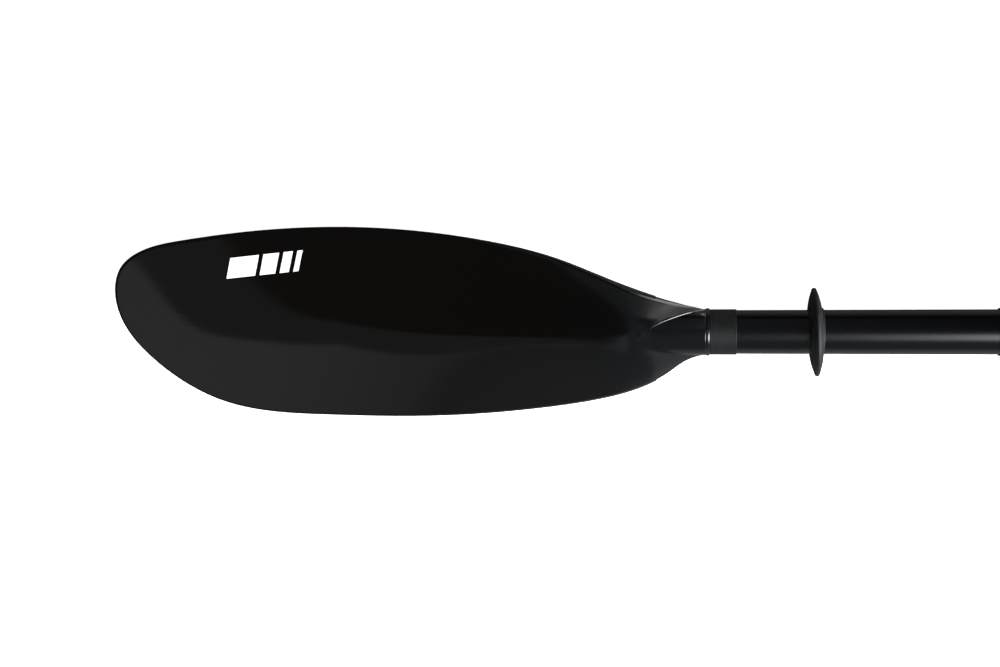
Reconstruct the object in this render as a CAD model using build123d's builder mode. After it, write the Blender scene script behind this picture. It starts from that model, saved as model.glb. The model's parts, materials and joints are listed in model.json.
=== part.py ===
"""One-bladed half of a two-piece touring paddle: blade, shaft, drip ring and ferrule.

Units are millimetres. The origin is on the shaft's axis at the start of the ferrule's
land, just past its shoulder.
+X runs along the shaft and out of the ferrule, +Y is towards the blade's long edge,
and +Z is up, out of the blade's power face.
"""
from build123d import *
import math
import os

os.makedirs("parts", exist_ok=True)

# ---- driving dimensions -------------------------------------------------------
shaft_od = 30.0
shaft_id = 26.4
neck_end_x = -664.0          # where the blade moulding ends and the shaft begins
blade_length = 434.0         # from the tip to the neck's end
neck_od = 32.0

edge_thickness = 3.6
edge_sag = 19.0              # how far the edge line dips behind the shaft's axis
tip_rise = 13.5              # how much of that dip the tip gains back
sag_station = 168.0          # distance from the tip of the lowest point
skin_thickness = 1.3
rim_width = 7.0
rim_end = 400.0              # stations: distances from the tip
core_end = 368.0
neck_cone_start = 390.0
neck_cone_end = 345.0
neck_cone_radius = 5.0

spigot_reach_neck = 46.0     # blade joint spigot, into the neck and into the shaft
spigot_reach_shaft = 52.0
spigot_bore = 22.8
bead_width = 2.4
bead_od = 32.8
band_length = 18.0
band_od = 31.2
plug_length = 20.0

ring_x = -591.3
ring_od = 60.0
ring_hub_width = 8.8
ring_rim_width = 3.2
ring_lip_width = 0.6
ring_lip_od = 33.0
ring_clearance = 0.06        # radial running fit on the shaft
ring_skew = 2.3              # degrees that the soft disc leans on the shaft

grip_start_x = -474.6
grip_length = 150.0
grip_od = 31.8

ferrule_reach = 80.0
ferrule_bond = 70.0
ferrule_od = 26.2
ferrule_bore = 22.2
land_length = 30.0           # ground stretch that the other half's socket seats on
undercut_width = 2.0         # relief between the shoulder and the land
undercut_depth = 0.7
groove_width = 3.0
groove_depth = 0.5
nose_chamfer = 1.2
collar_length = 5.0
collar_od = 31.0
end_cap_flange = 2.0
end_cap_plug = 9.0

button_x = 52.0
button_diameter = 7.0
button_clearance = 0.1
button_height = 3.6          # how far the button stands out of the ferrule
button_head = 10.0
button_head_thickness = 1.4
spring_width = 8.0
spring_strip = 0.7
spring_length = 34.0

decal_station = 86.0         # the near corner of the plain slanted bars on the power face
decal_y = 37.0
decal_bar_height = 15.0
decal_bar_slant = 6.0
decal_bar_widths = [22.0, 12.0, 7.0, 4.0]
decal_bar_gap = 3.5
decal_turn = 5.0             # degrees
decal_thickness = 0.12

tip_x = neck_end_x - blade_length
shaft_radius = shaft_od / 2
shaft_bore_radius = shaft_id / 2
neck_radius = neck_od / 2
ferrule_radius = ferrule_od / 2
ferrule_bore_radius = ferrule_bore / 2
shaft_start_x = neck_end_x + bead_width
shoulder_x = -undercut_width
shaft_end_x = shoulder_x - collar_length
half_space = 70.0            # height and depth of the solids that trim the blade

# Cross-sections from tip to neck: station, half width to the upper edge and to the
# lower edge, rise of the ridge, drop of the keel, and the power of the section's curve.
blade_sections = [
    (-16, 73.0, 73.0, 0.0, 0.0, 1.6),
    (30, 73.0, 73.0, 0.2, 0.5, 1.6),
    (80, 73.5, 73.0, 1.2, 1.8, 1.5),
    (130, 74.5, 73.5, 2.6, 3.0, 1.4),
    (180, 75.0, 74.0, 4.2, 3.8, 1.35),
    (230, 72.5, 73.0, 5.8, 4.6, 1.35),
    (280, 66.5, 69.0, 8.2, 5.6, 1.35),
    (325, 56.5, 62.0, 11.2, 7.6, 1.45),
    (360, 43.5, 54.0, 14.4, 10.6, 1.65),
    (385, 33.0, 45.5, 15.9, 12.7, 1.85),
    (402, 26.0, 37.0, 13.2, 12.8, 2.0),
    (416, 21.0, 27.5, 10.3, 11.0, 2.0),
    (428, 16.8, 20.5, 7.5, 7.6, 2.0),
    (444, 15.5, 18.5, 3.5, 3.5, 2.0),
]
section_shares = [0, 0.06, 0.14, 0.26, 0.42, 0.6, 0.8, 1.0, 1.12]
ridge_softness = 0.05

# Edge of the blade from the neck's upper side round the tip to its lower side:
# distance from the tip, and offset from the shaft's axis.
blade_edge = [
    (434, 16.0), (404, 23.8), (376, 33.7), (335, 50.5), (285, 63.0), (225, 70.8),
    (160, 73.5), (100, 71.1), (54, 66.4), (24, 60.0), (7.5, 48.8), (0, 28.0),
    (5.5, -0.9), (18.4, -20.6), (39.2, -41.2), (68, -58.9), (100, -68.0), (150, -72.0),
    (200, -72.3), (260, -68.3), (315, -60.2), (360, -50.6), (388, -41.2), (408, -29.8),
    (423, -19.2), (434, -16.0),
]


# ---- the blade's shape ----------------------------------------------------------
def ease(value):
    """Smooth step from 0 to 1."""
    value = min(max(value, 0.0), 1.0)
    return value * value * (3 - 2 * value)


def edge_height(station):
    """Height of the blade's edge line at a distance from the tip."""
    if station < sag_station:
        return -edge_sag + tip_rise * (1 - station / sag_station) ** 2
    return -edge_sag * (1 - ease((station - sag_station) / (blade_length - sag_station)))


def swell(share, power):
    """Share of a section's height left at a share of its half width."""
    reach = math.sqrt(1 + ridge_softness ** 2) - ridge_softness
    soft = (math.sqrt(share ** 2 + ridge_softness ** 2) - ridge_softness) / reach
    return 1 - soft ** power


def section_points(section, side, inset):
    """Points across one section of the power face (side 1) or the back (side -1)."""
    station, upper, lower, rise, drop, power = section
    height = rise if side > 0 else drop
    level = edge_height(station) + side * (edge_thickness / 2 - inset)
    low_half = [(-share * lower, level + side * height * swell(share, power))
                for share in reversed(section_shares[1:])]
    high_half = [(share * upper, level + side * height * swell(share, power))
                 for share in section_shares]
    return low_half + high_half


def blade_trim(side, inset=0.0):
    """Solid on the inner side of the power face (side 1) or of the back (side -1)."""
    with BuildPart() as trim:
        for section in blade_sections:
            points = section_points(section, side, inset)
            floor_height = -side * half_space
            with BuildSketch(Plane.YZ.offset(tip_x + section[0])):
                with BuildLine():
                    Spline(*points)
                    Polyline(points[-1], (points[-1][0], floor_height),
                             (points[0][0], floor_height), points[0])
                make_face()
        loft()
    return trim.part


def edge_points(inset):
    """The blade's edge points, each moved inwards square to the edge."""
    moved = []
    for index, (station, y) in enumerate(blade_edge):
        before = blade_edge[max(index - 1, 0)]
        after = blade_edge[min(index + 1, len(blade_edge) - 1)]
        along = (after[0] - before[0], after[1] - before[1])
        length = math.hypot(*along)
        moved.append((tip_x + station - inset * along[1] / length,
                      y + inset * along[0] / length))
    return moved


def blade_outline(inset=0.0):
    """Flat outline of the blade, seen from the power face."""
    points = edge_points(inset)
    with BuildSketch() as outline:
        with BuildLine():
            Spline(*points)
            Line(points[-1], points[0])
        make_face()
    return outline.sketch


def blade_slab(inset_edge, inset_face):
    """The blade between its two faces, less an inset at the edge and at each face."""
    with BuildPart() as slab:
        with BuildSketch(Plane.XY.offset(-half_space)):
            add(blade_outline(inset_edge))
        extrude(amount=2 * half_space)
        add(blade_trim(1, inset_face), mode=Mode.INTERSECT)
        add(blade_trim(-1, inset_face), mode=Mode.INTERSECT)
    return slab.part


def middle_trim():
    """Solid below the surface where the blade's two skins meet."""
    stations = [-16, 24, 64, 110, 168, 230, 290, 350, 400, 434]
    line = [(tip_x + station, edge_height(station)) for station in stations]
    with BuildPart() as trim:
        with BuildSketch(Plane.XZ):
            with BuildLine():
                Spline(*line)
                Polyline(line[-1], (line[-1][0] + 10, 0), (line[-1][0] + 10, -half_space),
                         (line[0][0], -half_space), line[0])
            make_face()
        extrude(amount=half_space + 20, both=True)
    return trim.part


def neck_body():
    """Round neck, tapering away inside the blade."""
    cone_x = tip_x + neck_cone_start
    nose_x = tip_x + neck_cone_end
    with BuildPart() as neck:
        with BuildSketch(Plane.XZ):
            with BuildLine():
                Polyline((neck_end_x, 0), (neck_end_x, neck_radius), (cone_x, neck_radius),
                         (nose_x, neck_cone_radius), (nose_x, 0), close=True)
            make_face()
        revolve(axis=Axis.X)
    return neck.part


def tube(start, end, outer, inner, chamfer_size=0.0):
    """Tube along the shaft's axis with chamfered outer rims."""
    with BuildPart() as body:
        with BuildSketch(Plane.YZ.offset(start)):
            Circle(outer)
        extrude(amount=end - start)
        if chamfer_size:
            chamfer(body.edges().filter_by(GeomType.CIRCLE), length=chamfer_size)
        if inner:
            with BuildSketch(Plane.YZ.offset(start)):
                Circle(inner)
            extrude(amount=end - start, mode=Mode.SUBTRACT)
    return body.part


def rod(start, end, radius, chamfer_size=0.0):
    """Solid round piece along the shaft's axis."""
    return tube(start, end, radius, 0.0, chamfer_size)


def slice_before(station):
    """Everything of the blade nearer the tip than a station."""
    with BuildPart() as block:
        with BuildSketch(Plane.YZ.offset(tip_x - 20)):
            Rectangle(4 * half_space, 4 * half_space)
        extrude(amount=station + 20)
    return block.part


def inset_column():
    """Column with the outline of the foam core."""
    with BuildPart() as column:
        with BuildSketch(Plane.XY.offset(-half_space)):
            add(blade_outline(rim_width))
        extrude(amount=2 * half_space)
    return column.part


def save(name, part):
    """Label a finished piece and write its file."""
    part.label = name
    export_step(part, f"parts/{name}.step")


# ---- blade ------------------------------------------------------------------------
socket_hole = rod(neck_end_x - spigot_reach_neck, neck_end_x + 1, shaft_bore_radius)

with BuildPart() as blade_inside:
    add(blade_slab(0, skin_thickness))
    add(slice_before(rim_end), mode=Mode.INTERSECT)

with BuildPart() as blade_shell:
    add(blade_slab(0, 0))
    add(neck_body())
    add(blade_inside.part, mode=Mode.SUBTRACT)
    add(socket_hole, mode=Mode.SUBTRACT)

with BuildPart() as blade_front_skin:
    add(blade_shell.part)
    add(middle_trim(), mode=Mode.SUBTRACT)
save("blade_front_skin", blade_front_skin.part)

with BuildPart() as blade_back_skin:
    add(blade_shell.part)
    add(middle_trim(), mode=Mode.INTERSECT)
save("blade_back_skin", blade_back_skin.part)

with BuildPart() as blade_rim:
    add(blade_inside.part)
    add(inset_column(), mode=Mode.SUBTRACT)
save("blade_rim", blade_rim.part)

with BuildPart() as blade_core:
    add(blade_inside.part)
    add(inset_column(), mode=Mode.INTERSECT)
    add(slice_before(core_end), mode=Mode.INTERSECT)
save("blade_core", blade_core.part)

with BuildPart() as blade_root_block:
    add(blade_inside.part)
    add(inset_column(), mode=Mode.INTERSECT)
    add(slice_before(core_end), mode=Mode.SUBTRACT)
    add(socket_hole, mode=Mode.SUBTRACT)
save("blade_root_block", blade_root_block.part)

with BuildPart() as blade_decal:
    with BuildSketch(Plane(origin=(tip_x + decal_station, decal_y, -half_space)).rotated(
            (0, 0, decal_turn))):
        bar_start = 0.0
        for bar_width in decal_bar_widths:
            with BuildLine():
                Polyline((bar_start, 0), (bar_start + bar_width, 0),
                         (bar_start + bar_width + decal_bar_slant, decal_bar_height),
                         (bar_start + decal_bar_slant, decal_bar_height), close=True)
            make_face()
            bar_start += bar_width + decal_bar_gap
    extrude(amount=2 * half_space)
    add(blade_trim(1, -decal_thickness), mode=Mode.INTERSECT)
    add(blade_trim(1), mode=Mode.SUBTRACT)
save("blade_decal", blade_decal.part)

# ---- blade joint ------------------------------------------------------------------
spigot_start_x = neck_end_x - spigot_reach_neck
spigot_end_x = shaft_start_x + spigot_reach_shaft
save("neck_spigot", tube(spigot_start_x, spigot_end_x, shaft_bore_radius, spigot_bore / 2, 0.6))
save("neck_spigot_plug", rod(spigot_start_x + 4, spigot_start_x + 4 + plug_length, spigot_bore / 2))

with BuildPart() as neck_bead:
    with BuildSketch(Plane.XZ):
        with BuildLine():
            Polyline((neck_end_x, neck_radius), (neck_end_x, shaft_bore_radius),
                     (shaft_start_x, shaft_bore_radius), (shaft_start_x, neck_radius))
            ThreePointArc((shaft_start_x, neck_radius),
                          (neck_end_x + bead_width / 2, bead_od / 2),
                          (neck_end_x, neck_radius))
        make_face()
    revolve(axis=Axis.X)
save("neck_bead", neck_bead.part)

save("joint_band", tube(shaft_start_x, shaft_start_x + band_length, band_od / 2, shaft_radius, 0.3))

# ---- shaft ------------------------------------------------------------------------
save("shaft_tube", tube(shaft_start_x, shaft_end_x, shaft_radius, shaft_bore_radius))
save("shaft_plug_blade_end", rod(spigot_end_x + 6, spigot_end_x + 6 + plug_length,
                                 shaft_bore_radius))
save("shaft_plug_ferrule_end", rod(-ferrule_bond - 6 - plug_length, -ferrule_bond - 6,
                                   shaft_bore_radius))
save("grip_sleeve", tube(grip_start_x, grip_start_x + grip_length, grip_od / 2, shaft_radius, 0.4))

# ---- drip ring --------------------------------------------------------------------
skew = math.radians(ring_skew)
ring_axis = Axis((ring_x, 0, 0), (math.cos(skew), math.sin(skew), 0))
ring_plane = Plane(origin=(ring_x, 0, 0), x_dir=(math.cos(skew), math.sin(skew), 0),
                   z_dir=(math.sin(skew), -math.cos(skew), 0))
ring_radius = ring_od / 2
ring_bore = shaft_radius + ring_clearance
rim_half = ring_rim_width / 2
hub_half = ring_hub_width / 2
with BuildPart() as drip_ring:
    with BuildSketch(ring_plane):
        with BuildLine():
            Polyline((-hub_half, ring_bore + 1.5), (-hub_half, ring_bore - 3),
                     (hub_half, ring_bore - 3), (hub_half, ring_bore + 1.5))
            ThreePointArc((hub_half, ring_bore + 1.5), (hub_half - 1.0, ring_bore + 7.5),
                          (rim_half, ring_radius - rim_half))
            ThreePointArc((rim_half, ring_radius - rim_half), (0, ring_radius),
                          (-rim_half, ring_radius - rim_half))
            ThreePointArc((-rim_half, ring_radius - rim_half),
                          (-hub_half + 1.0, ring_bore + 7.5), (-hub_half, ring_bore + 1.5))
        make_face()
    revolve(axis=ring_axis)
    add(rod(ring_x, ring_x + hub_half + ring_lip_width, ring_lip_od / 2, 0.5))
    add(rod(ring_x - ring_od, ring_x + ring_od, ring_bore), mode=Mode.SUBTRACT)
save("drip_ring", drip_ring.part)

# ---- ferrule ----------------------------------------------------------------------
button_hole_radius = button_diameter / 2 + button_clearance
with BuildPart() as ferrule_spigot:
    with BuildSketch(Plane.XZ):
        with BuildLine():
            Polyline((-ferrule_bond, ferrule_bore_radius), (ferrule_reach, ferrule_bore_radius),
                     (ferrule_reach, ferrule_radius - nose_chamfer),
                     (ferrule_reach - nose_chamfer, ferrule_radius),
                     (land_length + groove_width, ferrule_radius),
                     (land_length + groove_width, ferrule_radius - groove_depth),
                     (land_length, ferrule_radius - groove_depth), (land_length, ferrule_radius),
                     (0, ferrule_radius), (0, ferrule_radius - undercut_depth),
                     (shoulder_x, ferrule_radius - undercut_depth),
                     (shoulder_x, shaft_bore_radius),
                     (-ferrule_bond, shaft_bore_radius), close=True)
        make_face()
    revolve(axis=Axis.X)
    with BuildSketch(Plane.XY):
        with Locations((button_x, 0)):
            Circle(button_hole_radius)
    extrude(amount=ferrule_od, mode=Mode.SUBTRACT)
save("ferrule_spigot", ferrule_spigot.part)

save("ferrule_collar", tube(shaft_end_x, shoulder_x, collar_od / 2, shaft_bore_radius, 0.5))

cap_flange_radius = ferrule_radius - nose_chamfer
with BuildPart() as ferrule_end_cap:
    add(rod(ferrule_reach, ferrule_reach + end_cap_flange, cap_flange_radius, 0.5))
    add(rod(ferrule_reach - end_cap_plug, ferrule_reach, ferrule_bore_radius))
save("ferrule_end_cap", ferrule_end_cap.part)

# ---- snap button ------------------------------------------------------------------
button_top = ferrule_radius + button_height
head_room = 0.3
head_edge_height = math.sqrt(ferrule_bore_radius ** 2 - (button_head / 2) ** 2)
head_top = head_edge_height - head_room
head_bottom = head_top - button_head_thickness
with BuildPart() as snap_button:
    with BuildSketch(Plane.XY.offset(head_bottom)):
        with Locations((button_x, 0)):
            Circle(button_head / 2)
    extrude(amount=button_head_thickness)
    with BuildSketch(Plane.XY.offset(head_bottom)):
        with Locations((button_x, 0)):
            Circle(button_diameter / 2)
    extrude(amount=button_top - head_bottom)
    fillet(snap_button.edges().sort_by(Axis.Z)[-1], radius=1.6)
save("snap_button", snap_button.part)

spring_bend_x = button_x - spring_length
leg_gap = 0.05
upper_leg = head_bottom - spring_strip / 2 - leg_gap
lower_leg = -math.sqrt(ferrule_bore_radius ** 2 - (spring_width / 2) ** 2) + spring_strip / 2 + 0.05
with BuildPart() as button_spring:
    with BuildLine(Plane.XZ) as spring_path:
        FilletPolyline((button_x + 5, upper_leg), (button_x - 5, upper_leg),
                       (spring_bend_x, (upper_leg + lower_leg) / 2 + 1.6),
                       (spring_bend_x - 3, (upper_leg + lower_leg) / 2),
                       (spring_bend_x, (upper_leg + lower_leg) / 2 - 1.6),
                       (button_x - 8, lower_leg), (button_x + 4, lower_leg), radius=1.2)
    with BuildSketch(Plane(origin=(button_x + 5, 0, upper_leg), x_dir=(0, 1, 0),
                           z_dir=(-1, 0, 0))):
        Rectangle(spring_width, spring_strip)
    sweep(path=spring_path.wires()[0])
save("button_spring", button_spring.part)
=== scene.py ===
"""Looks for the take-apart touring paddle half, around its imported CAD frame. Metres."""

import json
import math

import bmesh
import bpy
import numpy as np
from mathutils import Matrix, Vector
from mathutils.kdtree import KDTree


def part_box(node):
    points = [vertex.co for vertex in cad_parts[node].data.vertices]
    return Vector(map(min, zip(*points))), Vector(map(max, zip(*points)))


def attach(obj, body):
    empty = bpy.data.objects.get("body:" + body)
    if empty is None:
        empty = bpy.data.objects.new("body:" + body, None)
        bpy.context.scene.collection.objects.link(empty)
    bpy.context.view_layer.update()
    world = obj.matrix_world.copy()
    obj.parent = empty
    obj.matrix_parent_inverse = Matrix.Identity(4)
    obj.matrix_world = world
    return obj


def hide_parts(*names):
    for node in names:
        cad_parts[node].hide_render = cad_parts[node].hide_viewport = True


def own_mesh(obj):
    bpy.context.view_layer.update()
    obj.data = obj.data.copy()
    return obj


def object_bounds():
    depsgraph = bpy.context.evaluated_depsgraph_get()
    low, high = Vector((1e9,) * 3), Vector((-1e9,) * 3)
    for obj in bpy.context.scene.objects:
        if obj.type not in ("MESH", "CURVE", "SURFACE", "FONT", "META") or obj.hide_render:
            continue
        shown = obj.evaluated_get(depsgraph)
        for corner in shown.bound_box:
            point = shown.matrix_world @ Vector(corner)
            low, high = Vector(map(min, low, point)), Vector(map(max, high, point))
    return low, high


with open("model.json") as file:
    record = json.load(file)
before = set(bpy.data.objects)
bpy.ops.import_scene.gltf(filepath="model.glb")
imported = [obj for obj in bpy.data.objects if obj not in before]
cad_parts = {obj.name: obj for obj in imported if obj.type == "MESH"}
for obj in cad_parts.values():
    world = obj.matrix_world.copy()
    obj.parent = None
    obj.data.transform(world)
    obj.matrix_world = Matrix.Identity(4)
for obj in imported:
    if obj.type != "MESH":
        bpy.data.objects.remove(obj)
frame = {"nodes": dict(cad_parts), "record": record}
nodes = frame["nodes"]
cad_low, cad_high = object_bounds()
MM = 0.001


# ---- sizes, worked out from the frame ---------------------------------------------
tip_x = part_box("blade_front_skin")[0].x
neck_end_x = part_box("blade_front_skin")[1].x
neck_wall = 2.8 * MM
neck_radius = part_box("neck_spigot")[1].z + neck_wall
shaft_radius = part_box("shaft_tube")[1].z
blade_length = neck_end_x - tip_x
floor_z = cad_low.z

# Stations are distances from the blade's tip along the shaft's axis.
edge_thickness = 3.6 * MM
edge_round = 2.2 * MM            # how far in from the edge the blade's faces round off
edge_sag = 19.0 * MM             # how far the edge lies behind the shaft's axis
sag_station = 168.0 * MM         # where it lies that far behind
tip_rise = 13.5 * MM             # how much of the sag the tip takes back
ridge_softness = 0.05            # rounding of the ridge, as a share of the half width
widest_share = 1.15              # how far past the edge a section's curve is followed
crease_fillet = 1.3 * MM         # where the neck meets the blade's face
neck_start, neck_start_radius = 345 * MM, 5 * MM
neck_full = 390 * MM             # station where the neck has its full radius
sharp_edge = 35                  # degrees, above which an edge is shaded sharp

# Cross-sections from tip to neck, in millimetres: station, half width to the upper edge
# and to the lower edge, rise of the ridge, drop of the keel, and the curve's power.
BLADE_SECTIONS = np.array([
    (-16, 73.0, 73.0, 0.0, 0.0, 1.6),
    (30, 73.0, 73.0, 0.2, 0.5, 1.6),
    (80, 73.5, 73.0, 1.2, 1.8, 1.5),
    (130, 74.5, 73.5, 2.6, 3.0, 1.4),
    (180, 75.0, 74.0, 4.2, 3.8, 1.35),
    (230, 72.5, 73.0, 5.8, 4.6, 1.35),
    (280, 66.5, 69.0, 8.2, 5.6, 1.35),
    (325, 56.5, 62.0, 11.2, 7.6, 1.45),
    (360, 43.5, 54.0, 14.4, 10.6, 1.65),
    (385, 33.0, 45.5, 15.9, 12.7, 1.85),
    (402, 26.0, 37.0, 13.2, 12.8, 2.0),
    (416, 21.0, 27.5, 10.3, 11.0, 2.0),
    (428, 16.8, 20.5, 7.5, 7.6, 2.0),
    (444, 15.5, 18.5, 3.5, 3.5, 2.0),
])

# The blade's edge from the neck's upper side round the tip to its lower side, in
# millimetres: distance from the tip, and offset from the shaft's axis.
BLADE_EDGE = np.array([
    (434, 16.0), (404, 23.8), (376, 33.7), (335, 50.5), (285, 63.0), (225, 70.8),
    (160, 73.5), (100, 71.1), (54, 66.4), (24, 60.0), (7.5, 48.8), (0, 28.0),
    (5.5, -0.9), (18.4, -20.6), (39.2, -41.2), (68, -58.9), (100, -68.0), (150, -72.0),
    (200, -72.3), (260, -68.3), (315, -60.2), (360, -50.6), (388, -41.2), (408, -29.8),
    (423, -19.2), (434, -16.0),
])


# ---- curves -----------------------------------------------------------------------
def smooth_line(knots, values):
    """Natural cubic spline through (knots, values), as a function of an array."""
    x, y = np.asarray(knots, float), np.asarray(values, float)
    step, count = np.diff(x), len(x)
    system, right = np.eye(count), np.zeros(count)
    for i in range(1, count - 1):
        system[i, i - 1:i + 2] = step[i - 1], 2 * (step[i - 1] + step[i]), step[i]
        right[i] = 6 * ((y[i + 1] - y[i]) / step[i] - (y[i] - y[i - 1]) / step[i - 1])
    bend = np.linalg.solve(system, right)

    def line(at):
        at = np.asarray(at, float)
        i = np.clip(np.searchsorted(x, at) - 1, 0, count - 2)
        low, high, width = at - x[i], x[i + 1] - at, step[i]
        return ((bend[i] * high ** 3 + bend[i + 1] * low ** 3) / (6 * width)
                + (y[i] / width - bend[i] * width / 6) * high
                + (y[i + 1] / width - bend[i + 1] * width / 6) * low)
    return line


def ease(value):
    """Smooth step from 0 to 1."""
    value = np.clip(value, 0.0, 1.0)
    return value * value * (3 - 2 * value)


# ---- the blade's shape --------------------------------------------------------------
section_lines = [smooth_line(BLADE_SECTIONS[:, 0] * MM, BLADE_SECTIONS[:, column] * scale)
                 for column, scale in ((1, MM), (2, MM), (3, MM), (4, MM), (5, 1.0))]


def edge_height(station):
    """Height of the blade's edge line at a distance from the tip."""
    towards_tip = -edge_sag + tip_rise * (1 - station / sag_station) ** 2
    towards_neck = -edge_sag * (1 - ease((station - sag_station) / (blade_length - sag_station)))
    return np.where(station < sag_station, towards_tip, towards_neck)


def swell(share, power):
    """Share of a section's height left at a share of its half width."""
    reach = math.sqrt(1 + ridge_softness ** 2) - ridge_softness
    soft = (np.sqrt(share ** 2 + ridge_softness ** 2) - ridge_softness) / reach
    return 1 - np.minimum(soft, widest_share) ** power


def lens_height(station, y, side):
    """Height of the power face (side 1) or the back (side -1), without the neck."""
    upper, lower, rise, drop, power = [line(station) for line in section_lines]
    share = np.abs(y) / np.where(y > 0, upper, lower)
    height = rise if side > 0 else drop
    return edge_height(station) + side * (edge_thickness / 2 + height * swell(share, power))


def neck_line(station):
    """Radius of the round neck, which tapers away inside the blade."""
    return np.interp(station, [neck_start, neck_full], [neck_start_radius, neck_radius], left=0.0)


def face_height(station, y, side):
    """Height of a face with the neck blended in by a small fillet."""
    lens = lens_height(station, y, side) * side
    radius = neck_line(station)
    inside = np.abs(y) < radius
    round_part = np.where(inside, np.sqrt(np.maximum(radius ** 2 - y ** 2, 0.0)), -1.0)
    gap = np.maximum(crease_fillet - np.abs(lens - round_part), 0.0) / crease_fillet
    return side * (np.maximum(lens, round_part) + gap ** 2 * crease_fillet / 4)


def edge_line():
    """Dense points of the blade's outline, from the upper side round to the lower."""
    samples = 6001
    run = np.concatenate([[0], np.cumsum(np.hypot(*np.diff(BLADE_EDGE, axis=0).T))])
    at = np.linspace(0, run[-1], samples)
    return np.stack([smooth_line(run, BLADE_EDGE[:, axis])(at) * MM for axis in (0, 1)], axis=1)


def edge_distance(outline, points):
    """Distance from each point to the outline."""
    tree = KDTree(len(outline))
    for index, (x, y) in enumerate(outline):
        tree.insert((x, y, 0), index)
    tree.balance()
    return np.array([tree.find((x, y, 0))[2] for x, y in points])


def blade_grid(along, across):
    """Stations, offsets and distances to the edge of a grid over the blade."""
    dense_from = 330 * MM        # half of the stations lie between here and the neck's end
    outline = edge_line()
    turn = int(np.argmin(outline[:, 0]))
    first = outline[turn, 0]
    upper, lower = outline[:turn + 1][::-1], outline[turn:]
    fan = 1 - np.cos(np.linspace(0, math.pi / 2, along // 2))
    stations = np.concatenate([first + fan * (dense_from - first),
                               np.linspace(dense_from, blade_length, along - along // 2 + 1)[1:]])
    high = np.interp(stations, np.maximum.accumulate(upper[:, 0]), upper[:, 1])
    low = np.interp(stations, np.maximum.accumulate(lower[:, 0]), lower[:, 1])
    spread = np.sin(np.linspace(-math.pi / 2, math.pi / 2, across))
    offsets = (high + low)[:, None] / 2 + (high - low)[:, None] / 2 * spread[None, :]
    stations = stations[:, None] + 0 * offsets
    flat = np.stack([stations.ravel(), offsets.ravel()], axis=1)
    return stations, offsets, edge_distance(outline, flat).reshape(offsets.shape)


# ---- pieces -------------------------------------------------------------------------
def new_piece(name, vertices, faces, sharp_angle=None, find_outside=True):
    """Mesh object with smooth shading, and sharp edges above an angle in degrees."""
    mesh = bpy.data.meshes.new(name)
    mesh.from_pydata([tuple(v) for v in vertices], [], faces)
    bm = bmesh.new()
    bm.from_mesh(mesh)
    bmesh.ops.remove_doubles(bm, verts=bm.verts, dist=1e-7)
    bmesh.ops.dissolve_degenerate(bm, dist=1e-8, edges=bm.edges)
    if find_outside:
        bmesh.ops.recalc_face_normals(bm, faces=bm.faces)
    bm.to_mesh(mesh)
    bm.free()
    mesh.shade_smooth()
    if sharp_angle:
        mesh.set_sharp_from_angle(angle=math.radians(sharp_angle))
    piece = bpy.data.objects.new(name, mesh)
    bpy.context.scene.collection.objects.link(piece)
    return piece


def blade_half(name, side, stations, offsets, distance):
    """One closed half of the blade, between a face and the surface where the halves meet."""
    middle = edge_height(stations)
    inward = np.clip(distance / edge_round, 0.0, 1.0)
    full = np.sqrt(1 - (1 - inward) ** 2)
    height = middle + (face_height(stations, offsets, side) - middle) * full
    end_height = neck_line(blade_length) ** 2 - offsets[-1] ** 2
    height[-1] = side * np.sqrt(np.maximum(end_height, 0.0))
    rows, columns = height.shape
    points = np.stack([tip_x + stations, offsets, height], axis=2).reshape(-1, 3)
    faces = []
    for i in range(rows - 1):
        for j in range(columns - 1):
            corner = i * columns + j
            faces.append((corner, corner + 1, corner + columns + 1, corner + columns))
        low, high = i * columns, (i + 1) * columns - 1
        faces.append((low, low + columns, high + columns, high))
    faces.append(tuple((rows - 1) * columns + j for j in range(columns)))
    if side > 0:
        faces = [face[::-1] for face in faces]
    return new_piece(name, points, faces, find_outside=False)


def lathe(name, profile, segments=160):
    """Closed ring or rod turned round the shaft's axis from (x, radius) points."""
    vertices, faces = [], []
    for k in range(segments):
        angle = 2 * math.pi * k / segments
        vertices += [(x, r * math.cos(angle), r * math.sin(angle)) for x, r in profile]
    count = len(profile)
    for k in range(segments):
        here, there = k * count, (k + 1) % segments * count
        for j in range(count):
            following = (j + 1) % count
            faces.append((here + j, here + following, there + following, there + j))
    return new_piece(name, vertices, faces, sharp_edge)


def resin_line(name):
    """Fine raised line of resin along the crease between the neck and the blade's upper part."""
    rings, sides = 60, 16
    first_station, last_station = 397 * MM, blade_length - 8 * MM
    thin, thick = 0.08 * MM, 0.75 * MM
    across = np.linspace(0.0, 30 * MM, 3001)
    spine, radii = [], []
    for share in np.linspace(0, 1, rings):
        station = first_station + share * (last_station - first_station)
        level = lens_height(np.full_like(across, station), across, 1)
        radius = neck_line(station)
        round_part = np.sqrt(np.maximum(radius ** 2 - across ** 2, 0.0)) - (across >= radius)
        y = across[np.nonzero(round_part > level)[0][-1]]
        z = float(face_height(np.array([station]), np.array([y]), 1)[0])
        spine.append(Vector((tip_x + station, y, z)))
        radii.append(thin + (thick - thin) * float(ease(1.7 * share) * ease(8 - 8 * share)))
    vertices, faces = [], []
    for index, (centre, radius) in enumerate(zip(spine, radii)):
        ahead = spine[min(index + 1, rings - 1)] - spine[max(index - 1, 0)]
        level = ahead.cross(Vector((0, 0, 1))).normalized()
        rise = level.cross(ahead).normalized()
        for k in range(sides):
            angle = 2 * math.pi * k / sides
            vertices.append(centre + radius * (math.cos(angle) * level + math.sin(angle) * rise))
    for i in range(rings - 1):
        for k in range(sides):
            here, there = i * sides + k, i * sides + (k + 1) % sides
            faces.append((here, there, there + sides, here + sides))
    faces += [tuple(range(sides)), tuple((rings - 1) * sides + k for k in range(sides))]
    return new_piece(name, vertices, faces)


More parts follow.
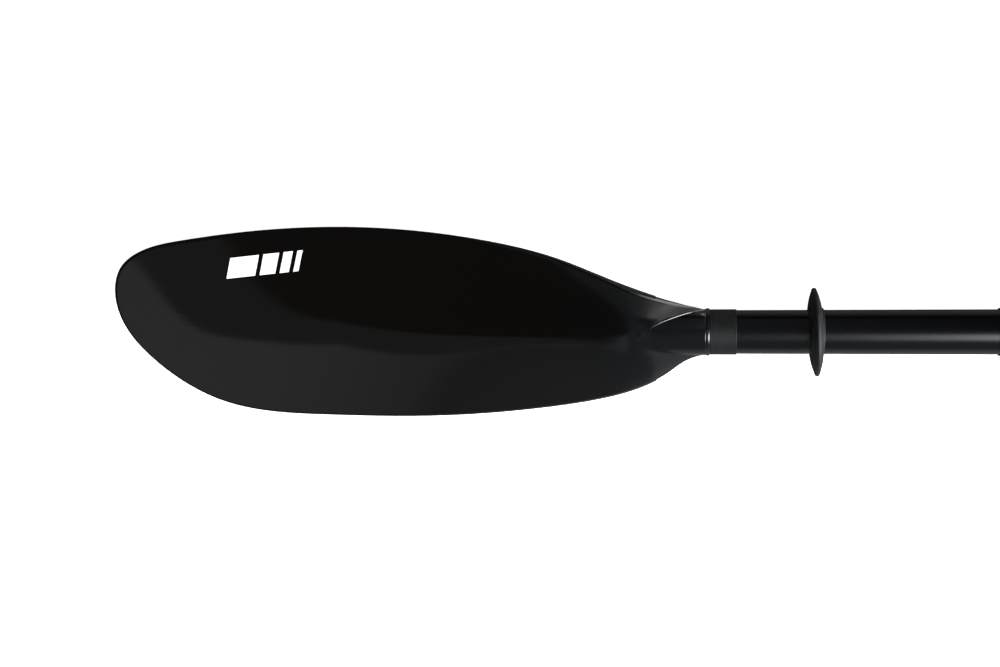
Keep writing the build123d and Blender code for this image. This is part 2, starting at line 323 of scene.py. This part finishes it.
def printed_bars(name):
    """Plain slanted bars of thin film on the power face, where the CAD model has them."""
    turn, film, buried = math.radians(5), 0.12 * MM, 0.06 * MM
    slant, height, gap = 6.0 * MM, 15.0 * MM, 3.5 * MM
    corner_station, corner_y = 86.0 * MM, 37.0 * MM
    cells = 24
    row = cells + 1
    layer = row * row
    vertices, faces, start = [], [], 0.0
    for width in (22.0 * MM, 12.0 * MM, 7.0 * MM, 4.0 * MM):
        across, along = np.meshgrid(np.linspace(0, 1, row), np.linspace(0, 1, row))
        u = start + across * width + along * slant
        v = along * height
        station = corner_station + u * math.cos(turn) - v * math.sin(turn)
        y = corner_y + u * math.sin(turn) + v * math.cos(turn)
        level = face_height(station, y, 1)
        first = len(vertices)
        for lift in (film, -buried):
            points = np.stack([tip_x + station, y, level + lift], axis=2).reshape(-1, 3)
            vertices += [tuple(point) for point in points]
        for i in range(cells):
            for j in range(cells):
                k = first + i * row + j
                faces.append((k, k + 1, k + row + 1, k + row))
                k += layer
                faces.append((k, k + row, k + row + 1, k + 1))
        rim = ([first + j for j in range(row)]
               + [first + i * row + cells for i in range(1, row)]
               + [first + cells * row + j for j in range(cells - 1, -1, -1)]
               + [first + i * row for i in range(cells - 1, 0, -1)])
        for here, there in zip(rim, rim[1:] + rim[:1]):
            faces.append((here, here + layer, there + layer, there))
        start += width + gap
    return new_piece(name, vertices, faces, sharp_edge)


# ---- materials ----------------------------------------------------------------------
class Paint:
    """A node material, built up a few nodes at a time."""

    def __init__(self, name, color, roughness, **fixed):
        self.material = bpy.data.materials.new(name)
        self.material.use_nodes = True
        self.tree = self.material.node_tree
        self.shader = self.tree.nodes["Principled BSDF"]
        self.shader.inputs["Base Color"].default_value = (*color, 1)
        self.shader.inputs["Roughness"].default_value = roughness
        for socket, value in fixed.items():
            self.shader.inputs[socket.replace("_", " ")].default_value = value
        self.coordinates = self.tree.nodes.new("ShaderNodeTexCoord").outputs["Object"]
        self.normal = None

    def node(self, kind, inputs=(), **settings):
        """A node with its settings, and its inputs linked or set."""
        made = self.tree.nodes.new(kind)
        for key, value in settings.items():
            setattr(made, key, value)
        for key, value in dict(inputs).items():
            if isinstance(value, bpy.types.NodeSocket):
                self.tree.links.new(value, made.inputs[key])
            else:
                made.inputs[key].default_value = value
        return made

    def scaled(self, scale):
        """Object coordinates times a scale for each axis."""
        return self.node("ShaderNodeMapping", {"Vector": self.coordinates, "Scale": scale}).outputs[0]

    def noise(self, scale, detail, stretch=(1, 1, 1), roughness=0.55):
        """Noise of 0 to 1, finer with a higher scale."""
        return self.node("ShaderNodeTexNoise", {"Vector": self.scaled(stretch), "Scale": scale,
                                                "Detail": detail, "Roughness": roughness}).outputs[0]

    def wave(self, scale, direction, distortion):
        """Soft bands of 0 to 1 across a direction."""
        return self.node("ShaderNodeTexWave", {"Vector": self.coordinates, "Scale": scale,
                                               "Distortion": distortion},
                         bands_direction=direction).outputs[1]

    def between(self, value, low, high, start=0.0, end=1.0):
        """Map a value from a span onto another span."""
        return self.node("ShaderNodeMapRange", {"Value": value, "From Min": start, "From Max": end,
                                                "To Min": low, "To Max": high}).outputs[0]

    def math(self, operation, first, second):
        """Two values combined."""
        return self.node("ShaderNodeMath", {0: first, 1: second}, operation=operation).outputs[0]

    def colour(self, value, dark, light):
        """Base colour from dark to light by a value."""
        mix = self.node("ShaderNodeMix", {"Factor": value}, data_type="RGBA")
        mix.inputs["A"].default_value = (*dark, 1)
        mix.inputs["B"].default_value = (*light, 1)
        self.tree.links.new(mix.outputs["Result"], self.shader.inputs["Base Color"])

    def rough(self, value):
        """Roughness by a value."""
        self.tree.links.new(value, self.shader.inputs["Roughness"])

    def bump(self, value, depth, strength=1.0):
        """Add a bump from a height of 0 to 1, with its depth in metres."""
        made = self.node("ShaderNodeBump", {"Height": value, "Distance": depth,
                                            "Strength": strength})
        if self.normal:
            self.tree.links.new(self.normal, made.inputs["Normal"])
        self.normal = made.outputs[0]
        self.tree.links.new(self.normal, self.shader.inputs["Normal"])


def blade_paint():
    """Glossy black laminate: a faint weave under clear resin, with light handling marks.

    It is a little warm over the blade, and cooler and duller towards the neck.
    """
    paint = Paint("blade_gloss", (0.0018, 0.0014, 0.001), 0.05, IOR=1.49)
    weave = paint.math("MULTIPLY", paint.wave(260, "X", 0.4), paint.wave(260, "Y", 0.4))
    along = paint.node("ShaderNodeSeparateXYZ", {"Vector": paint.coordinates}).outputs[0]
    near_neck = paint.between(along, 0.0, 0.7, neck_end_x - 0.10, neck_end_x - 0.03)
    tint = paint.math("ADD", paint.math("MULTIPLY", weave, 0.3), near_neck)
    paint.colour(tint, (0.0020, 0.0015, 0.0011), (0.0005, 0.0012, 0.0018))
    marks = paint.between(paint.noise(60, 6, (1, 6, 1), 0.7), 0.02, 0.06, 0.35, 0.75)
    root = paint.between(along, 0.0, 0.15, neck_end_x - 0.12, neck_end_x - 0.05)
    paint.rough(paint.math("ADD", marks, root))
    paint.bump(weave, 0.000002, 0.5)
    paint.bump(paint.noise(110, 4, (0.06, 1, 0)), 0.000008)
    return paint.material


def edge_paint():
    """The bonded edge: the same resin, a little duller where it has been rubbed."""
    paint = Paint("blade_edge", (0.004, 0.004, 0.0045), 0.3, IOR=1.5)
    rub = paint.noise(90, 5)
    paint.colour(rub, (0.003, 0.003, 0.0035), (0.012, 0.012, 0.013))
    paint.rough(paint.between(rub, 0.2, 0.45))
    return paint.material


def shaft_paint():
    """Satin black shaft with fine ground hoops and a little grain."""
    paint = Paint("shaft_satin", (0.002, 0.002, 0.0024), 0.36, IOR=1.5)
    hoops = paint.noise(900, 2, (1, 0.02, 0.02))
    grain = paint.noise(2400, 2)
    paint.colour(hoops, (0.0001, 0.0002, 0.0006), (0.0008, 0.0009, 0.0014))
    paint.rough(paint.between(paint.noise(35, 5, (0.3, 1, 1)), 0.19, 0.25))
    paint.bump(hoops, 0.00002, 0.5)
    paint.bump(grain, 0.00001, 0.5)
    return paint.material


def band_paint():
    """Satin wrapped band."""
    paint = Paint("band_satin", (0.006, 0.006, 0.006), 0.5, IOR=1.32)
    tone = paint.noise(1200, 3, (1, 0.05, 0.05))
    paint.colour(tone, (0.0005, 0.0006, 0.0008), (0.013, 0.0128, 0.0126))
    paint.rough(paint.between(paint.noise(200, 3), 0.5, 0.64))
    paint.bump(paint.noise(3000, 2), 0.00002, 0.5)
    return paint.material


def rubber_paint(name, dark, light, grain):
    """Soft matte rubber with fine grain and dusty patches."""
    paint = Paint(name, dark, 0.6, IOR=1.45)
    dust = paint.noise(120, 6)
    paint.colour(paint.between(dust, 0, 1, 0.35, 0.8), dark, light)
    paint.rough(paint.between(dust, 0.5, 0.72))
    paint.bump(paint.noise(grain, 2), 0.00004, 0.7)
    return paint.material


def gloss_paint(name, color, ior=1.5):
    """Glossy black resin or plastic."""
    paint = Paint(name, color, 0.1, IOR=ior)
    paint.rough(paint.between(paint.noise(150, 4), 0.14, 0.26))
    paint.bump(paint.noise(400, 2), 0.00002, 0.3)
    return paint.material


def print_paint():
    """White printed film, a little worn."""
    paint = Paint("print_white", (0.86, 0.86, 0.85), 0.4, IOR=1.45)
    wear = paint.noise(700, 6)
    paint.colour(paint.between(wear, 0, 1, 0.3, 0.42), (0.6, 0.6, 0.6), (0.9, 0.9, 0.89))
    paint.bump(paint.noise(3000, 2), 0.00001, 0.4)
    return paint.material


def steel_paint(name, tone):
    """Brushed steel."""
    paint = Paint(name, (tone, tone, tone * 0.97), 0.3, Metallic=1.0)
    brush = paint.noise(1500, 4, (0.05, 1, 1))
    paint.colour(brush, (tone * 0.8,) * 3, (tone, tone, tone * 0.97))
    paint.rough(paint.between(brush, 0.22, 0.42))
    paint.bump(brush, 0.00001, 0.4)
    return paint.material


def foam_paint():
    """Closed-cell foam."""
    paint = Paint("foam", (0.7, 0.68, 0.6), 0.85)
    cells = paint.node("ShaderNodeTexVoronoi", {"Vector": paint.coordinates, "Scale": 900}).outputs[0]
    paint.colour(cells, (0.6, 0.57, 0.48), (0.76, 0.74, 0.67))
    paint.bump(cells, 0.0003, 0.5)
    return paint.material


paints = {
    "blade_gloss": blade_paint(),
    "blade_edge": edge_paint(),
    "print_white": print_paint(),
    "foam": foam_paint(),
    "resin_block": gloss_paint("resin_block", (0.02, 0.02, 0.022)),
    "bead_gloss": gloss_paint("bead_gloss", (0.003, 0.003, 0.004), 1.6),
    "tube_inner": gloss_paint("tube_inner", (0.01, 0.01, 0.011)),
    "band_satin": band_paint(),
    "shaft_satin": shaft_paint(),
    "grip_skin": rubber_paint("grip_skin", (0.007, 0.007, 0.008), (0.014, 0.014, 0.015), 1600),
    "ring_rubber": rubber_paint("ring_rubber", (0.003, 0.0033, 0.0036), (0.011, 0.0115, 0.012), 2200),
    "ferrule_satin": rubber_paint("ferrule_satin", (0.01, 0.01, 0.011), (0.02, 0.02, 0.02), 2600),
    "collar_gloss": gloss_paint("collar_gloss", (0.004, 0.004, 0.005)),
    "cap_plastic": rubber_paint("cap_plastic", (0.012, 0.012, 0.012), (0.02, 0.02, 0.02), 1800),
    "button_steel": steel_paint("button_steel", 0.6),
    "spring_steel": steel_paint("spring_steel", 0.45),
}


def dress(piece, slot_name, material=None):
    """Give a piece the paint of a slot, or a material of its own."""
    piece.data.materials.clear()
    piece.data.materials.append(material or paints[slot_name])


# ---- the blade ------------------------------------------------------------------------
grid = blade_grid(340, 150)
front = blade_half("blade_front", 1, *grid)
back = blade_half("blade_back", -1, *grid)
for half, node in ((front, "blade_front_skin"), (back, "blade_back_skin")):
    dress(half, "blade_gloss")
    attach(half, "paddle")
    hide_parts(node)

line = resin_line("crease_line")
dress(line, "bead_gloss", gloss_paint("line_gloss", (0.003, 0.003, 0.004), 2.0))
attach(line, "paddle")
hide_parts("blade_front_skin")

bars = printed_bars("blade_bars")
dress(bars, "print_white")
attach(bars, "paddle")
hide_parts("blade_decal")

# ---- the joint band, wound in fine turns --------------------------------------------------
band_low, band_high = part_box("joint_band")
band_start, band_end, band_radius = band_low.x, band_high.x, band_high.z
start_land, start_chamfer = 0.3 * MM, 0.25 * MM
end_land, end_chamfer = 0.05 * MM, 0.12 * MM
turns, turn_depth = 14, 0.07 * MM
pitch = (band_end - band_start - start_land - end_land) / turns
outside = []
for turn_index in range(turns):
    for share, lift in ((0.0, 0.0), (0.18, 0.8), (0.5, 1.0), (0.82, 0.8)):
        outside.append((band_start + start_land + (turn_index + share) * pitch,
                        band_radius - turn_depth * (1 - lift)))
band = lathe("band_turns", [
    (band_start, shaft_radius), (band_start, band_radius - start_chamfer), *outside,
    (band_end - end_land, band_radius - turn_depth), (band_end, band_radius - end_chamfer),
    (band_end, shaft_radius)])
dress(band, "band_satin")
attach(band, "paddle")
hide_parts("joint_band")

# ---- the shaft, turned finer than the CAD mesh ---------------------------------------------
shaft_low, shaft_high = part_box("shaft_tube")
shaft_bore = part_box("shaft_plug_blade_end")[1].z
shaft = lathe("shaft_turned", [(shaft_low.x, shaft_bore), (shaft_low.x, shaft_radius),
                               (shaft_high.x, shaft_radius), (shaft_high.x, shaft_bore)], segments=256)
dress(shaft, "shaft_satin")
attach(shaft, "paddle")
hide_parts("shaft_tube")

# ---- the button's spring, which gives way when the button is pressed: here a copy of its CAD node with a mesh of its own ---
spring = bpy.data.objects.new("spring_strip", nodes["button_spring"].data.copy())
spring.matrix_world = nodes["button_spring"].matrix_world
bpy.context.scene.collection.objects.link(spring)
dress(spring, "spring_steel")
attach(spring, "paddle")
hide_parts("button_spring")
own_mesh(spring)

# ---- CAD nodes keep their shape and take their paint ------------------------------------
for part in frame["record"]["subparts"]:
    node = nodes[part["node"]]
    if not node.data.materials:
        node.data.materials.append(None)
    for index in range(len(node.data.materials)):
        node.data.materials[index] = paints[part["material_slot"]]
    node.data.shade_smooth()
    node.data.set_sharp_from_angle(angle=math.radians(sharp_edge))


# ---- studio -----------------------------------------------------------------------------
def emitter(name, place, aim, size, power, lit):
    """Small soft panel that lights one piece only, and isn't itself in view.

    Its place and aim are measured from the centre of the neck's end.
    """
    light = bpy.data.lights.new(name, "AREA")
    light.shape = "RECTANGLE"
    light.size, light.size_y = size
    light.energy = power
    lamp = bpy.data.objects.new(name, light)
    lamp.location = (neck_end_x + place[0], place[1], place[2])
    lamp.rotation_euler = (Vector(aim) - Vector(place)).to_track_quat("-Z", "Y").to_euler()
    lamp.visible_camera = False
    lamp.light_linking.receiver_collection = bpy.data.collections.new(name + "_lit")
    lamp.light_linking.receiver_collection.objects.link(lit)
    bpy.context.scene.collection.objects.link(lamp)


def pale_floor():
    """Plain floor that stays near white."""
    floor_size = 12.0
    floor = new_piece("floor", [(x * floor_size + neck_end_x, y * floor_size, floor_z)
                                for x, y in ((-1, -1), (1, -1), (1, 1), (-1, 1))], [(0, 1, 2, 3)])
    paint = Paint("floor", (0.9, 0.9, 0.9), 0.8)
    paint.shader.inputs["Emission Color"].default_value = (1, 1, 1, 1)
    paint.shader.inputs["Emission Strength"].default_value = 1.0
    paint.shader.inputs["Specular IOR Level"].default_value = 0.1
    floor.data.materials.append(paint.material)
    floor.visible_glossy = False


def studio_world():
    """Dark surround with soft panels.

    The level depends on the direction (x, y, z) alone, as a unit vector in the object's frame:
    x towards the ferrule, y towards the blade's upper edge and z up.
    """
    world = bpy.data.worlds.new("studio")
    bpy.context.scene.world = world
    world.use_nodes = True
    tree = world.node_tree
    background = tree.nodes["Background"]
    place = tree.nodes.new("ShaderNodeTexCoord")
    split = tree.nodes.new("ShaderNodeSeparateXYZ")
    tree.links.new(place.outputs["Generated"], split.inputs[0])
    x, y, z = split.outputs

    def step(value, start, end, low=0.0, high=1.0):
        """Level that passes smoothly from low to high as a value goes from start to end."""
        made = tree.nodes.new("ShaderNodeMapRange")
        made.interpolation_type = "SMOOTHSTEP"
        for key, number in (("From Min", start), ("From Max", end), ("To Min", low), ("To Max", high)):
            made.inputs[key].default_value = number
        tree.links.new(value, made.inputs["Value"])
        return made.outputs[0]

    def combine(operation, *items):
        """Values and numbers combined one after another."""
        total = items[0]
        for item in items[1:]:
            made = tree.nodes.new("ShaderNodeMath")
            made.operation = operation
            for key, part in enumerate((total, item)):
                if isinstance(part, float):
                    made.inputs[key].default_value = part
                else:
                    tree.links.new(part, made.inputs[key])
            total = made.outputs[0]
        return total

    across = combine("SUBTRACT", x, y)
    above = step(z, -0.05, 0.05)

    # The ceiling is dark towards the tip and the upper edge, apart from a lighter strip across it.
    strip = combine("MULTIPLY", step(x, -0.20, -0.08, 0.03, 0.15), step(x, 0.08, 0.2, 1.0, 0.2))
    soffit = combine("MAXIMUM", step(across, -0.115, -0.085, 0.03, 0.15), strip)
    ceiling = combine("MULTIPLY", above, soffit)

    # A brighter panel hangs overhead, towards the tip and the lower edge.
    panel = combine("MULTIPLY", step(across, 0.008, 0.020), step(z, 0.745, 0.785),
                    step(x, -0.19, -0.13, 1.0, 0.0), step(z, 0.75, 0.92, 0.12, 0.34))

    # The near wall is on the side of the blade's lower edge, and the far wall opposite. Both are
    # brighter low down.
    near_wall = combine("MULTIPLY", step(y, -0.7, -0.3, 1.0, 0.0), step(z, -0.05, 0.25, 0.42, 0.07))
    far_wall = combine("MULTIPLY", step(y, 0.1, 0.5), step(z, -0.6, -0.2, 0.2, 0.0))

    # A strong lamp beyond the ferrule end makes the streak along the shaft.
    lamp = combine("MULTIPLY", step(x, 0.115, 0.5), step(y, -0.54, -0.28), step(y, -0.10, 0.20, 1.0, 0.0),
                   above, 17.0)

    level = combine("ADD", 0.01, ceiling, panel, near_wall, far_wall, lamp)
    tree.links.new(level, background.inputs["Strength"])
    background.inputs["Color"].default_value = (0.92, 0.965, 1.0, 1)


pale_floor()
studio_world()
for name, place, aim, size, power in (
        ("neck_wash", (0.16, 0.50, 0.36), (0.04, 0, 0), (0.26, 0.50), 0.084),
        ("root_panel", (0.042, 0.15, 0.087), (0.042, 0, 0.087), (0.044, 0.226), 0.029),
        ("root_glint", (0.025, 0.151, 0.087), (0.025, 0, 0.087), (0.009, 0.226), 0.016),
        ("edge_panel", (0.034, 0.15, -0.065), (0.034, 0, -0.065), (0.058, 0.07), 0.05),
        ("under_panel", (0.076, -0.27, 0.18), (0.076, 0, 0.12), (0.087, 0.34), 0.042)):
    emitter(name, place, aim, size, power, front)
emitter("bead_panel", (-0.12, 0.05, 0.18), (0, 0, neck_radius), (0.1, 0.1), 0.017, nodes["neck_bead"])

# ---- camera -----------------------------------------------------------------------------
camera_distance = 0.8207
camera_yaw = math.radians(10)
camera_tilt = math.radians(18)
camera_x = neck_end_x + 1.4 * MM
forward = Vector((-math.sin(camera_yaw), -math.cos(camera_yaw) * math.sin(camera_tilt),
                  -math.cos(camera_yaw) * math.cos(camera_tilt)))
right = Vector((math.cos(camera_yaw), -math.sin(camera_yaw) * math.sin(camera_tilt),
                -math.sin(camera_yaw) * math.cos(camera_tilt)))
up = right.cross(forward)
camera_data = bpy.data.cameras.new("camera")
camera_data.sensor_width = 36.0
camera_data.lens = 42.48
camera_data.shift_y = -0.0015
camera = bpy.data.objects.new("camera", camera_data)
camera.matrix_world = Matrix((
    (right.x, up.x, -forward.x, camera_x),
    (right.y, up.y, -forward.y, camera_distance * math.sin(camera_tilt)),
    (right.z, up.z, -forward.z, camera_distance * math.cos(camera_tilt)),
    (0, 0, 0, 1)))
bpy.context.scene.collection.objects.link(camera)
bpy.context.scene.camera = camera
bpy.context.scene.view_settings.view_transform = "Standard"
